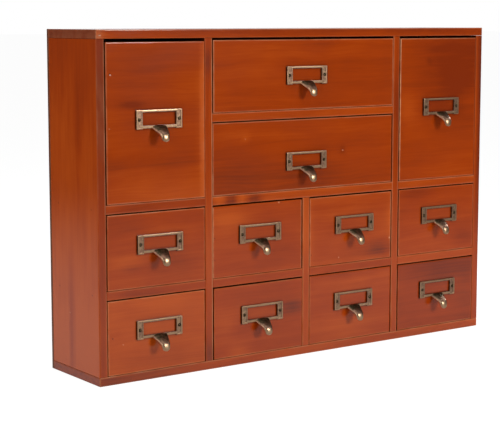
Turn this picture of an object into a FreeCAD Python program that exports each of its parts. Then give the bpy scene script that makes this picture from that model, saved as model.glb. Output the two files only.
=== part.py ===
import FreeCAD, Part
import os

import Sketcher

# Desk drawer organizer: a stained wooden case of twelve drawers, each with a brass card-holder pull.
# Millimetres. +X to the right seen from the front, +Y to the back, +Z up.
# The origin is the middle of the case's underside.

Vector = FreeCAD.Vector
document = FreeCAD.newDocument("desk_drawer_organizer")

dimensions = {
    # The case: outside size, board and back thickness, softened arrises
    "case_width": 510,
    "case_depth": 100,
    "case_height": 350,
    "board": 9,
    "back": 4,
    "arris": 0.5,
    # The drawers: thicknesses of their boards and the play round them
    "front_board": 9,
    "wall_board": 5,
    "floor_board": 3,
    "side_play": 0.9,
    "floor_play": 0.3,
    "rear_play": 1.5,
    "face_inset": 0.1,
    "box_inset": 0.4,
    "wall_drop": 3,
    # The pull's plate: a card frame with two end lands
    "plate_width": 53.2,
    "plate_height": 19,
    "plate_thick": 2.2,
    "plate_corner": 1.0,
    "plate_arris": 0.35,
    "window_width": 39,
    "window_height": 13.0,
    "top_bar": 2.3,
    "land_step": 0.9,
    "rim": 1.3,
    "end_rim": 1.7,
    "inner_rim": 0.9,
    "land_recess": 0.5,
    "card_width": 42,
    "card_lip": 1.3,
    "card_slot": 0.6,
    # The pull's hook: a tapering shell that runs out and down from the lower bar
    "hook_wall": 1.3,
    # The two pins of each pull
    "pin_spacing": 46.6,
    "pin_head": 3.2,
    "pin_head_tall": 1.0,
    "pin_dome": 0.75,
    "pin_shank": 1.5,
    "pin_length": 7.5,
    "pin_point": 1.4,
    "pin_end_play": 0.2,
    "pin_seat": 3.7,
    "pin_seat_deep": 0.6,
    "pin_play": 0.1,
}

# Hook sections from root to tip: how far out of the drawer's face and up from the frame's middle,
# how many degrees the hook points below the level there, its width, and the rise of its arched outside.
hook_sections = (
    (0.2, -8.0, 34, 19.0, 3.4),
    (4.4, -10.9, 34, 15.8, 3.3),
    (8.4, -13.5, 38, 12.8, 3.6),
    (10.9, -15.5, 50, 10.8, 3.9),
    (12.2, -18.0, 66, 9.6, 3.2),
    (13.1, -21.0, 75, 8.2, 2.2),
    (13.6, -22.8, 74, 5.2, 1.6),
)
hook_measures = ("out", "up", "turn", "width", "rise")

# Each drawer: name, first column and row from the lower left, columns and rows it spans,
# its sideways lie in the cell, the gap above it, and where its pull sits off the cell's middle.
drawers = (
    ("tall_left", 0, 2, 1, 2, 0.6, 3.2, 3.0, 1.5),
    ("wide_upper", 1, 3, 2, 1, 0.5, 2.2, -0.6, -1.8),
    ("tall_right", 3, 2, 1, 2, 0.5, 2.4, 3.8, 1.2),
    ("wide_lower", 1, 2, 2, 1, -0.5, 1.1, -0.8, -7.2),
    ("upper_small_1", 0, 1, 1, 1, 0.3, 1.1, 3.2, 5.4),
    ("upper_small_2", 1, 1, 1, 1, -0.6, 1.5, 1.3, 5.3),
    ("upper_small_3", 2, 1, 1, 1, -0.3, 1.4, 3.5, 4.8),
    ("upper_small_4", 3, 1, 1, 1, 0.6, 1.1, 3.3, 5.7),
    ("lower_small_1", 0, 0, 1, 1, -0.1, 1.1, 1.7, 4.7),
    ("lower_small_2", 1, 0, 1, 1, 0.6, 1.5, 3.8, 5.2),
    ("lower_small_3", 2, 0, 1, 1, -0.3, 1.1, 2.6, 5.8),
    ("lower_small_4", 3, 0, 1, 1, 0.6, 1.2, 2.0, 5.2),
)

for number, section in enumerate(hook_sections):
    for measure, size in zip(hook_measures, section):
        dimensions[f"hook_{measure}_{number}"] = size
for name, column, row, wide, high, lie, gap, across, up in drawers:
    dimensions[f"{name}_lie"] = lie
    dimensions[f"{name}_gap"] = gap
    dimensions[f"{name}_pull_across"] = across
    dimensions[f"{name}_pull_up"] = up

sheet = document.addObject("Spreadsheet::Sheet", "sizes")
for line, (alias, number) in enumerate(dimensions.items(), start=1):
    sheet.set(f"A{line}", alias)
    sheet.set(f"B{line}", str(number))
    sheet.setAlias(f"B{line}", alias)
document.recompute()

nodes = []
column_pitch = "((sizes.case_width - sizes.board) / 4)"
row_pitch = "((sizes.case_height - sizes.board) / 4)"
board_depth = "(sizes.case_depth - sizes.back)"
case_left = "(-sizes.case_width / 2)"
case_front = "(-sizes.case_depth / 2)"
same_place = 1e-6  # mm within which two places count as one
least_cut = 1e-3  # mm3 that a cut must remove
least_ring = 1.0  # mm across, under which a round edge is only the end of a seam


def value(expression):
    """The number that an expression on the sheet gives."""
    return float(sheet.evalExpression(expression))


def origin_feature(body, role):
    return next(item for item in body.Origin.OriginFeatures if item.Role == role)


def new_body(label):
    body = document.addObject("PartDesign::Body", label)
    body.Label = label
    body.AllowCompound = True
    return body


def place(item, left, front, bottom):
    """Put a sub-part in the case and list it as a node."""
    item.setExpression("Placement.Base.x", left)
    item.setExpression("Placement.Base.y", front)
    item.setExpression("Placement.Base.z", bottom)
    nodes.append(item)


def new_sketch(body, role, label):
    sketch = body.newObject("Sketcher::SketchObject", label)
    sketch.AttachmentSupport = (origin_feature(body, role), [""])
    sketch.MapMode = "FlatFace"
    return sketch


def hold(sketch, geometry, end, across, up, name):
    """Fix one point of a sketch at the place its two expressions give."""
    for kind, axis, expression in (("DistanceX", -2, across), ("DistanceY", -1, up)):
        number = value(expression)
        if abs(number) < same_place:
            sketch.addConstraint(Sketcher.Constraint("PointOnObject", geometry, end, axis))
            continue
        constraint = sketch.addConstraint(Sketcher.Constraint(kind, -1, 1, geometry, end, number))
        sketch.renameConstraint(constraint, f"{name}_{kind}")
        sketch.setExpression(f"Constraints.{name}_{kind}", expression)


def outline(sketch, corners, vias=None):
    """A closed outline through the corners; a side with a via point is an arc through it."""
    vias = vias or {}
    points = [Vector(value(across), value(up), 0) for across, up in corners]
    first = sketch.GeometryCount
    for side, start in enumerate(points):
        stop = points[(side + 1) % len(points)]
        if side in vias:
            middle = Vector(value(vias[side][0]), value(vias[side][1]), 0)
            sketch.addGeometry(Part.Arc(start, middle, stop))
        else:
            sketch.addGeometry(Part.LineSegment(start, stop))
    # An arc's start and end follow its turn, so each side's ends are looked up by place.
    ends = []
    for side, start in enumerate(points):
        geometry = first + side
        starts_here = sketch.getPoint(geometry, 1).isEqual(start, same_place)
        ends.append((1, 2) if starts_here else (2, 1))
    for side, (across, up) in enumerate(corners):
        geometry = first + side
        previous = (side - 1) % len(points)
        joint = (first + previous, ends[previous][1], geometry, ends[side][0])
        sketch.addConstraint(Sketcher.Constraint("Coincident", *joint))
        hold(sketch, geometry, ends[side][0], across, up, f"corner_{geometry}")
    for side, (across, up) in vias.items():
        point = sketch.addGeometry(Part.Point(Vector(value(across), value(up), 0)), True)
        hold(sketch, point, 1, across, up, f"via_{point}")
        sketch.addConstraint(Sketcher.Constraint("PointOnObject", point, 1, first + side))


def rectangle(sketch, left, low, right, high):
    outline(sketch, ((left, low), (right, low), (right, high), (left, high)))


def circle(sketch, across, up, radius):
    geometry = sketch.addGeometry(
        Part.Circle(Vector(value(across), value(up), 0), Vector(0, 0, 1), value(radius)))
    hold(sketch, geometry, 3, across, up, f"centre_{geometry}")
    constraint = sketch.addConstraint(Sketcher.Constraint("Radius", geometry, value(radius)))
    sketch.renameConstraint(constraint, f"radius_{geometry}")
    sketch.setExpression(f"Constraints.radius_{geometry}", radius)


def pad(body, sketch, length, label, reverse=False):
    feature = body.newObject("PartDesign::Pad", label)
    feature.Profile = sketch
    feature.Reversed = reverse
    feature.setExpression("Length", length)
    return feature


def pocket(body, sketch, length, label, reverse=False):
    """Cut a sketch into the body, and stop if it removes nothing."""
    document.recompute()
    before = body.Shape.Volume
    feature = body.newObject("PartDesign::Pocket", label)
    feature.Profile = sketch
    feature.Reversed = reverse
    feature.setExpression("Length", length)
    document.recompute()
    if body.Shape.Volume > before - least_cut:
        raise RuntimeError(f"{label} cuts nothing")
    return feature


def soften(body, base, radius, wanted, label):
    """Round the edges of a feature that the test picks, or every edge."""
    document.recompute()
    feature = body.newObject("PartDesign::Fillet", label)
    if wanted is None:
        feature.Base = (base, [""])
        feature.UseAllEdges = True
    else:
        picked = [f"Edge{number}" for number, edge in enumerate(base.Shape.Edges, start=1)
                  if wanted(edge)]
        feature.Base = (base, picked)
    feature.setExpression("Radius", radius)
    return feature


def runs_along(edge, axis):
    """Whether a straight edge lies along X, Y or Z."""
    box = edge.BoundBox
    lengths = {"X": box.XLength, "Y": box.YLength, "Z": box.ZLength}
    longest = lengths.pop(axis)
    return longest > same_place and max(lengths.values()) < same_place


def at_front(edge, axis):
    """Whether an edge is on the local front face and runs along the given axis."""
    return runs_along(edge, axis) and all(abs(point.Y) < same_place for point in edge.Vertexes)


# The case: butt-jointed boards, with the back laid over their rear edges

def board(label, size, corner, grain=None, repeat=None):
    """One case board, or an evenly spaced row of them, from its size and its low corner.

    With a grain axis only its front arrises are softened, since its ends meet other boards.
    """
    width, depth, height = size
    body = new_body(label)
    sketch = new_sketch(body, "XY_Plane", f"{label}_outline")
    rectangle(sketch, "0", "0", width, depth)
    last = pad(body, sketch, height, f"{label}_blank")
    if repeat:
        axis, spacing = repeat
        last = body.newObject("PartDesign::LinearPattern", f"{label}_row")
        last.Originals = [body.getObject(f"{label}_blank")]
        last.Direction = (origin_feature(body, axis), [""])
        last.setExpression("Length", spacing)
        last.Occurrences = 2
        body.Tip = last
    wanted = None if grain is None else (lambda edge: at_front(edge, grain))
    soften(body, last, "sizes.arris", wanted, f"{label}_softened")
    place(body, *corner)


def build_case():
    inner_height = "(sizes.case_height - 2 * sizes.board)"
    cell_width = f"({column_pitch} - sizes.board)"
    cover = ("sizes.case_width", board_depth, "sizes.board")
    upright = ("sizes.board", board_depth, inner_height)
    board("bottom_board", cover, (case_left, case_front, "0"))
    board("top_board", cover, (case_left, case_front, "sizes.case_height - sizes.board"))
    for label, pitches in (("left_side", 0), ("left_partition", 1),
                           ("right_partition", 3), ("right_side", 4)):
        left = f"{case_left} + {pitches} * {column_pitch}"
        board(label, upright, (left, case_front, "sizes.board"), grain="Z")
    board("centre_partition", ("sizes.board", board_depth, f"2 * {row_pitch} - sizes.board"),
          (f"{case_left} + 2 * {column_pitch}", case_front, "sizes.board"), grain="Z")
    for label, column, row, columns, axis, spacing in (
            ("left_shelves", 0, 1, 1, "Z_Axis", row_pitch),
            ("right_shelves", 3, 1, 1, "Z_Axis", row_pitch),
            ("wide_shelves", 1, 2, 2, "Z_Axis", row_pitch),
            ("short_shelves", 1, 1, 1, "X_Axis", column_pitch)):
        width = cell_width if columns == 1 else f"({columns} * {column_pitch} - sizes.board)"
        left = f"{case_left} + sizes.board + {column} * {column_pitch}"
        board(label, (width, board_depth, "sizes.board"),
              (left, case_front, f"{row} * {row_pitch}"), grain="X", repeat=(axis, spacing))
    board("back_panel", ("sizes.case_width", "sizes.back", "sizes.case_height"),
          (case_left, f"{case_front} + {board_depth}", "0"))


# A drawer: front, box and pull, each built about the lower left corner of its own front face

def build_front(name, front_width, front_height, pull_middle, corner):
    """The drawer's face board, with two blind pilot holes for the pins."""
    label = f"{name}_front"
    body = new_body(label)
    sketch = new_sketch(body, "XZ_Plane", f"{label}_outline")
    rectangle(sketch, "0", "0", front_width, front_height)
    blank = pad(body, sketch, "sizes.front_board", f"{label}_blank", reverse=True)
    soften(body, blank, "sizes.arris", None, f"{label}_softened")
    holes = new_sketch(body, "XZ_Plane", f"{label}_pilots")
    for side in ("-", "+"):
        across = f"{pull_middle[0]} {side} sizes.pin_spacing / 2"
        circle(holes, across, pull_middle[1], "sizes.pin_shank / 2 + sizes.pin_play")
    pocket(body, holes, "sizes.pin_length", f"{label}_pilot_holes")
    place(body, *corner)


def build_box(name, front_width, front_height, corner):
    """Two walls and a back standing on a thin floor, all glued behind the front."""
    label = f"{name}_box"
    width = f"({front_width} - 2 * sizes.box_inset)"
    length = f"({board_depth} - sizes.face_inset - sizes.front_board - sizes.rear_play)"
    height = f"({front_height} - sizes.floor_board - sizes.wall_drop)"
    far_side = f"({width} - sizes.wall_board)"
    between = f"({width} - 2 * sizes.wall_board)"
    boards = (
        ("floor", (width, length, "sizes.floor_board"), ("0", "0", "0")),
        ("left_wall", ("sizes.wall_board", length, height), ("0", "0", "sizes.floor_board")),
        ("right_wall", ("sizes.wall_board", length, height), (far_side, "0", "sizes.floor_board")),
        ("back", (between, "sizes.wall_board", height),
         ("sizes.wall_board", f"{length} - sizes.wall_board", "sizes.floor_board")),
    )
    pieces = []
    for piece, size, low_corner in boards:
        solid = document.addObject("Part::Box", f"{label}_{piece}")
        for side, expression in zip(("Length", "Width", "Height"), size):
            solid.setExpression(side, expression)
        for axis, expression in zip("xyz", low_corner):
            solid.setExpression(f"Placement.Base.{axis}", expression)
        pieces.append(solid)
    box = document.addObject("Part::Compound", label)
    box.Label = label
    box.Links = pieces
    left, front, bottom = corner
    place(box, f"{left} + sizes.box_inset", f"{front} + sizes.front_board", bottom)


def hook_section(body, number, label):
    """One crescent of the hook's shell, set square to the hook's run."""
    out, up, turn = (f"sizes.hook_{measure}_{number}" for measure in ("out", "up", "turn"))
    sketch = new_sketch(body, "XZ_Plane", label)
    sketch.AttachmentOffset = FreeCAD.Placement(
        Vector(0, value(up), value(out)), FreeCAD.Rotation(Vector(1, 0, 0), value(turn)))
    sketch.setExpression("AttachmentOffset.Base.y", up)
    sketch.setExpression("AttachmentOffset.Base.z", out)
    sketch.setExpression("AttachmentOffset.Rotation.Angle", turn)
    half = f"sizes.hook_width_{number} / 2"
    rise = f"sizes.hook_rise_{number}"
    corners = ((f"-{half}", "0"), (half, "0"),
               (f"{half} - sizes.hook_wall", "0"), (f"-{half} + sizes.hook_wall", "0"))
    outline(sketch, corners, {0: ("0", rise), 2: ("0", f"{rise} - sizes.hook_wall")})
    return sketch


def build_pull(name, middle):
    """Card frame and hook, cast as one piece, about the middle of the frame's rear face."""
    label = f"{name}_pull"
    body = new_body(label)
    half_plate = "(sizes.plate_width / 2)"
    half_window = "(sizes.window_width / 2)"
    top = "(sizes.plate_height / 2)"
    low = "(-sizes.plate_height / 2)"
    window_high = f"({top} - sizes.top_bar)"
    window_low = f"({window_high} - sizes.window_height)"
    bar_low = f"({low} + sizes.land_step)"

    plate = new_sketch(body, "XZ_Plane", f"{label}_plate_outline")
    outline(plate, ((f"-{half_plate}", low), (f"-{half_window}", low),
                    (f"-{half_window}", bar_low), (half_window, bar_low),
                    (half_window, low), (half_plate, low),
                    (half_plate, top), (f"-{half_plate}", top)))
    blank = pad(body, plate, "sizes.plate_thick", f"{label}_plate")
    outer = value(half_plate)
    rounded = soften(body, blank, "sizes.plate_corner",
                     lambda edge: runs_along(edge, "Y") and abs(edge.Vertexes[0].X) > outer - same_place,
                     f"{label}_corners")
    face = -value("sizes.plate_thick")
    soften(body, rounded, "sizes.plate_arris",
           lambda edge: all(abs(point.Y - face) < same_place for point in edge.Vertexes),
           f"{label}_rim")

    window = new_sketch(body, "XZ_Plane", f"{label}_window_outline")
    rectangle(window, f"-{half_window}", window_low, half_window, window_high)
    pocket(body, window, "sizes.plate_thick", f"{label}_window", reverse=True)

    seats = new_sketch(body, "XZ_Plane", f"{label}_seat_circles")
    shanks = new_sketch(body, "XZ_Plane", f"{label}_shank_circles")
    lands = new_sketch(body, "XZ_Plane", f"{label}_land_outlines")
    for side in ("-", ""):
        ends = (f"{side}({half_window} + sizes.inner_rim)", f"{side}({half_plate} - sizes.end_rim)")
        left, right = sorted(ends, key=value)
        rectangle(lands, left, f"{low} + sizes.rim", right, f"{top} - sizes.rim")
        circle(seats, f"{side}sizes.pin_spacing / 2", "0", "sizes.pin_seat / 2")
        circle(shanks, f"{side}sizes.pin_spacing / 2", "0", "sizes.pin_shank / 2 + sizes.pin_play")
    # These two start at the plate's front face, so their sketches stand off by its thickness.
    for sketch in (lands, seats):
        sketch.setExpression("AttachmentOffset.Base.z", "sizes.plate_thick")
    pocket(body, lands, "sizes.land_recess", f"{label}_lands")
    pocket(body, seats, "sizes.land_recess + sizes.pin_seat_deep", f"{label}_seats")
    pocket(body, shanks, "sizes.plate_thick", f"{label}_shank_holes", reverse=True)

    sections = [hook_section(body, number, f"{label}_section_{number}")
                for number in range(len(hook_sections))]
    hook = body.newObject("PartDesign::AdditiveLoft", f"{label}_hook")
    hook.Profile = sections[0]
    hook.Sections = sections[1:]

    card = new_sketch(body, "XZ_Plane", f"{label}_card_outline")
    rectangle(card, "-sizes.card_width / 2", f"{window_low} - sizes.card_lip",
              "sizes.card_width / 2", top)
    pocket(body, card, "sizes.card_slot", f"{label}_card_slot", reverse=True)
    place(body, *middle)


def build_pins(name, middle):
    """Two round-headed pins, turned about Y, in one row along X."""
    label = f"{name}_pins"
    body = new_body(label)
    head_low = "(sizes.land_recess + sizes.pin_seat_deep - sizes.plate_thick)"
    head_top = f"({head_low} - sizes.pin_head_tall)"
    half_profile = new_sketch(body, "XY_Plane", f"{label}_profile")
    outline(half_profile, (("0", head_top), ("sizes.pin_head / 2", head_top),
                           ("sizes.pin_head / 2", head_low), ("sizes.pin_shank / 2", head_low),
                           ("sizes.pin_shank / 2", "sizes.pin_length - sizes.pin_point"),
                           ("0", "sizes.pin_length - sizes.pin_end_play")))
    turned = body.newObject("PartDesign::Revolution", f"{label}_turned")
    turned.Profile = half_profile
    turned.ReferenceAxis = (half_profile, ["V_Axis"])
    turned.Angle = 360
    top_edge = value(head_top)
    soften(body, turned, "sizes.pin_dome",
           lambda edge: all(abs(point.Y - top_edge) < same_place for point in edge.Vertexes)
           and edge.BoundBox.XLength > least_ring, f"{label}_domed")
    document.recompute()
    row = body.newObject("PartDesign::LinearPattern", f"{label}_row")
    row.TransformMode = "Whole shape"
    row.Direction = (origin_feature(body, "X_Axis"), [""])
    row.setExpression("Length", "sizes.pin_spacing")
    row.Occurrences = 2
    body.Tip = row
    left, front, up = middle
    place(body, f"{left} - sizes.pin_spacing / 2", front, up)


def build_drawer(name, column, row, columns, rows):
    cell_left = f"({case_left} + sizes.board + {column} * {column_pitch})"
    cell_low = f"(sizes.board + {row} * {row_pitch})"
    cell_width = f"({columns} * {column_pitch} - sizes.board)"
    cell_height = f"({rows} * {row_pitch} - sizes.board)"
    front_width = f"({cell_width} - 2 * sizes.side_play)"
    front_height = f"({cell_height} - sizes.floor_play - sizes.{name}_gap)"
    corner = (f"({cell_left} + sizes.side_play + sizes.{name}_lie)",
              f"({case_front} + sizes.face_inset)",
              f"({cell_low} + sizes.floor_play)")
    # The pull is placed from the middle of the cell, and its pilot holes from the front's corner.
    pull_x = f"({cell_left} + {cell_width} / 2 + sizes.{name}_pull_across)"
    pull_z = f"({cell_low} + {cell_height} / 2 + sizes.{name}_pull_up)"
    middle = (pull_x, corner[1], pull_z)
    build_front(name, front_width, front_height,
                (f"({pull_x} - {corner[0]})", f"({pull_z} - {corner[2]})"), corner)
    build_box(name, front_width, front_height, corner)
    build_pull(name, middle)
    build_pins(name, middle)


def check_document():
    """Stop on a failed feature or a sub-part with no sound shape."""
    for item in document.Objects:
        if {"Invalid", "Error"} & set(item.State):
            raise RuntimeError(f"{item.Label} failed: {item.State}")
    for node in nodes:
        if node.Shape.isNull() or not node.Shape.isValid():
            raise RuntimeError(f"{node.Label} has no valid shape")


def write_nodes():
    os.makedirs("parts", exist_ok=True)
    for node in nodes:
        node.Shape.exportStep(f"parts/{node.Label}.step")
        box = node.Shape.BoundBox
        print(f"{node.Label}: {len(node.Shape.Solids)} solids, {node.Shape.Volume:.0f} mm3, "
              f"x {box.XMin:.1f} to {box.XMax:.1f}, y {box.YMin:.1f} to {box.YMax:.1f}, "
              f"z {box.ZMin:.1f} to {box.ZMax:.1f}")


build_case()
for name, column, row, columns, rows, *places in drawers:
    build_drawer(name, column, row, columns, rows)
document.recompute()
check_document()
write_nodes()
print(len(nodes), "nodes")
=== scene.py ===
import math
import random

import bmesh
import bpy
from mathutils import Matrix, Vector, noise


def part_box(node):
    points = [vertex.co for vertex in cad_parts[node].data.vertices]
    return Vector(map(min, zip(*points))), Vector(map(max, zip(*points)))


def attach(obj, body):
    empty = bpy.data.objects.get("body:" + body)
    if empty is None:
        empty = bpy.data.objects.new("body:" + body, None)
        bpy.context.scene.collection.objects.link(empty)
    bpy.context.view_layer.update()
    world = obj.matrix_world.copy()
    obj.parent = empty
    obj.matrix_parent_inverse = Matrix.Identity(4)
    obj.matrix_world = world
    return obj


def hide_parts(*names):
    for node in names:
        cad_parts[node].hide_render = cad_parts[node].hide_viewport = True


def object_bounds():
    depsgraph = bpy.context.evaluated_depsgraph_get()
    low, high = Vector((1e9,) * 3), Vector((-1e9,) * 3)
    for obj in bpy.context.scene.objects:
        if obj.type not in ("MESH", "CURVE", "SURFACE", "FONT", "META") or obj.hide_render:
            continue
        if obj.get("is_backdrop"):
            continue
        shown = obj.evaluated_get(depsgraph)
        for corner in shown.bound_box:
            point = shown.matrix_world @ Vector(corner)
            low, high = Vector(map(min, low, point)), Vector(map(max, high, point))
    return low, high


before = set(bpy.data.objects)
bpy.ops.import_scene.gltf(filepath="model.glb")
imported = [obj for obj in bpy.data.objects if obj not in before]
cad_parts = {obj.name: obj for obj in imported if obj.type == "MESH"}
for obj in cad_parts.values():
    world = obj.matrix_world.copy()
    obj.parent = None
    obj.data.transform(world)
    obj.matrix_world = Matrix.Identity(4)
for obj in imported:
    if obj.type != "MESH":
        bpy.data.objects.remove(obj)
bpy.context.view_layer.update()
mm = 0.001
hair = 1e-7       # metres: two places closer than this are one
closeBy = 1e-6    # the same, where an operator has moved them
squareOn = 0.9    # a face whose normal has this much of an axis faces along it
squareTurn = 1.0  # radians: an edge that turns more than this is a corner of the blank
print("frame loaded:", len(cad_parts), "nodes")


# Helpers for colours and shader nodes

def linear(code):  # sRGB hex to the linear colour that shaders take
    shares = [int(code[at:at + 2], 16) / 255 for at in (1, 3, 5)]
    return [s / 12.92 if s <= 0.04045 else ((s + 0.055) / 1.055) ** 2.4 for s in shares] + [1.0]


def addNode(tree, kind, settings=None, inputs=None):  # one shader node with its settings and links
    node = tree.nodes.new(kind)
    for name, setting in (settings or {}).items():
        if name == "stops":
            while len(node.color_ramp.elements) < len(setting):
                node.color_ramp.elements.new(0.5)
            for element, (place, colour) in zip(node.color_ramp.elements, setting):
                element.position = place
                element.color = colour
        else:
            setattr(node, name, setting)
    for name, source in (inputs or {}).items():
        if isinstance(source, bpy.types.NodeSocket):
            tree.links.new(source, node.inputs[name])
        else:
            node.inputs[name].default_value = source
    return node


def newTree(owner):  # an empty node tree for a material, lamp or world
    owner.use_nodes = True
    owner.node_tree.nodes.clear()
    return owner.node_tree


def direction(azimuth, elevation):  # from the object towards a camera or lamp
    a, e = math.radians(azimuth), math.radians(elevation)
    return Vector((math.sin(a) * math.cos(e), -math.cos(a) * math.cos(e), math.sin(e)))


def addObject(name, data):  # a new object in the scene
    made = bpy.data.objects.new(name, data)
    bpy.context.scene.collection.objects.link(made)
    return made


def standOff(holder, settings):  # puts a camera or lamp at its distance, facing the object
    back = direction(settings["azimuth"], settings["elevation"])
    holder.location = cameraSettings["target"] + back * settings["distance"]
    holder.rotation_euler = (-back).to_track_quat("-Z", "Y").to_euler()


# Camera, where the photograph was taken from

cameraSettings = {
    "target": Vector((-0.037, 0.0, 0.161)),
    "azimuth": -35.47,
    "elevation": 7.17,
    "distance": 1.596,
    "lens": 106.06,
    "shift": (-0.002, -0.031),
}


def addCamera(settings):
    data = bpy.data.cameras.new("camera")
    data.lens = settings["lens"]
    data.shift_x, data.shift_y = settings["shift"]
    camera = addObject("camera", data)
    standOff(camera, settings)
    bpy.context.scene.camera = camera


# Studio: white paper all round, which gloss sees only near the object, and four soft lamps

studioSettings = {
    "floorSize": 30.0,
    "floorDrop": 0.2 * mm,      # keeps the paper clear of the case's underside
    "paper": linear("#E6E6E4"),
    "paperSeen": 1.20,          # what the eye sees of the paper, before the lamps' share
    "shadowShare": 0.22,        # how much of the paper's look comes from the lamps, shadow included
    "whiteReach": (0.30, 1.9),  # metres from the object over which mirrored paper falls off
    "mirrored": 0.55,           # how bright gloss sees it close by
    "dim": 0.03,                # the dark room beyond it
    "ceiling": 0.30,            # the pale ceiling above, from the second height of ceilingReach on
    "ceilingReach": (0.25, 0.75),
    "sheet": (145, 10, 0.9),    # azimuth, elevation and level of the white sheet behind the object
    "sheetReach": (36, 16),     # degrees from its middle to its soft edge and to its full white
    "ambient": 0.22,
}
lampSettings = {
    "key": {"azimuth": 22, "elevation": 16, "distance": 2.4, "size": 0.55, "level": 0.45},
    "leftFill": {"azimuth": -78, "elevation": 22, "distance": 2.2, "size": 1.6, "level": 0.45},
    "topFill": {"azimuth": -10, "elevation": 78, "distance": 2.0, "size": 1.4, "level": 0.25},
    "rightRim": {"azimuth": 98, "elevation": 24, "distance": 1.1, "size": 0.30, "level": 0.7},
}


def addLamp(name, settings):
    data = bpy.data.lights.new(name, "AREA")
    data.shape = "SQUARE"
    data.size = settings["size"]
    # At level 1 a surface that faces the lamp shows its colour as written
    data.energy = settings["level"] * math.pi ** 2 * settings["distance"] ** 2
    standOff(addObject(name, data), settings)


def rayKinds(tree):  # whether a ray sees the paper straight, or mirrored in gloss or through glass
    path = addNode(tree, "ShaderNodeLightPath")
    mirrored = addNode(tree, "ShaderNodeMath", {"operation": "MAXIMUM"},
                       {0: path.outputs["Is Glossy Ray"], 1: path.outputs["Is Transmission Ray"]})
    return path.outputs["Is Camera Ray"], mirrored.outputs[0]


def addFloor(settings):
    bm = bmesh.new()
    bmesh.ops.create_grid(bm, x_segments=1, y_segments=1, size=settings["floorSize"])
    bmesh.ops.translate(bm, vec=(0, 0, -settings["floorDrop"]), verts=bm.verts)
    mesh = bpy.data.meshes.new("paper_floor")
    bm.to_mesh(mesh)
    bm.free()
    floor = addObject("paper_floor", mesh)
    paper = bpy.data.materials.new("matte white seamless paper")
    tree = newTree(paper)
    straight, mirrored = rayKinds(tree)
    place = addNode(tree, "ShaderNodeTexCoord").outputs["Object"]
    away = addNode(tree, "ShaderNodeVectorMath", {"operation": "LENGTH"}, {0: place})
    near, far = settings["whiteReach"]
    fading = addNode(tree, "ShaderNodeMapRange", {"interpolation_type": "SMOOTHSTEP"},
                     {"Value": away.outputs["Value"], "From Min": near, "From Max": far,
                      "To Min": settings["mirrored"], "To Max": settings["dim"]})
    white = addNode(tree, "ShaderNodeMix", {"data_type": "FLOAT"},
                    {0: straight, 2: fading.outputs[0], 3: settings["paperSeen"]})
    glowShare = addNode(tree, "ShaderNodeMath", {"operation": "MULTIPLY_ADD"},
                        {0: straight, 1: 1.0 - settings["shadowShare"], 2: mirrored})
    matte = addNode(tree, "ShaderNodeBsdfDiffuse", {}, {"Color": settings["paper"]})
    glow = addNode(tree, "ShaderNodeEmission", {}, {"Color": (1, 1, 1, 1), "Strength": white.outputs[0]})
    seen = addNode(tree, "ShaderNodeMixShader", {},
                   {0: glowShare.outputs[0], 1: matte.outputs[0], 2: glow.outputs[0]})
    addNode(tree, "ShaderNodeOutputMaterial", {}, {"Surface": seen.outputs[0]})
    mesh.materials.append(paper)
    floor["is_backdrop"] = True


def addWorld(settings):
    world = bpy.data.worlds.new("studio")
    bpy.context.scene.world = world
    tree = newTree(world)
    straight, mirrored = rayKinds(tree)
    backdrop = addNode(tree, "ShaderNodeMix", {"data_type": "FLOAT"},
                       {0: straight, 2: settings["ambient"], 3: 1.0})
    towards = addNode(tree, "ShaderNodeTexCoord").outputs["Generated"]
    height = addNode(tree, "ShaderNodeSeparateXYZ", {}, {0: towards})
    low, high = settings["ceilingReach"]
    room = addNode(tree, "ShaderNodeMapRange", {"interpolation_type": "SMOOTHSTEP"},
                   {"Value": height.outputs["Z"], "From Min": low, "From Max": high,
                    "To Min": settings["dim"], "To Max": settings["ceiling"]})
    azimuth, elevation, level = settings["sheet"]
    outer, inner = [math.cos(math.radians(reach)) for reach in settings["sheetReach"]]
    facing = addNode(tree, "ShaderNodeVectorMath", {"operation": "DOT_PRODUCT"},
                     {0: towards, 1: direction(azimuth, elevation)})
    behind = addNode(tree, "ShaderNodeMapRange", {"interpolation_type": "SMOOTHSTEP"},
                     {"Value": facing.outputs["Value"], "From Min": outer, "From Max": inner,
                      "To Max": level})
    around = addNode(tree, "ShaderNodeMath", {"operation": "MAXIMUM"},
                     {0: room.outputs[0], 1: behind.outputs[0]})
    strength = addNode(tree, "ShaderNodeMix", {"data_type": "FLOAT"},
                       {0: mirrored, 2: backdrop.outputs[0], 3: around.outputs[0]})
    sky = addNode(tree, "ShaderNodeBackground", {}, {"Color": (1, 1, 1, 1), "Strength": strength.outputs[0]})
    addNode(tree, "ShaderNodeOutputWorld", {}, {"Surface": sky.outputs[0]})


addCamera(cameraSettings)
addFloor(studioSettings)
addWorld(studioSettings)
for lampName, lampLook in lampSettings.items():
    addLamp(lampName, lampLook)
bpy.context.scene.view_settings.view_transform = "Standard"
print("camera, floor and lamps set")


# Woods. Every board carries its own grain coordinates: along the grain, across its fine lines and through
# its growth rings. It also carries its tone, its plum clouds, its knots and brads together with painted shade
# in its gaps and round its fittings, and where the stain (edge) and the varnish (arris) are rubbed off.

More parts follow.
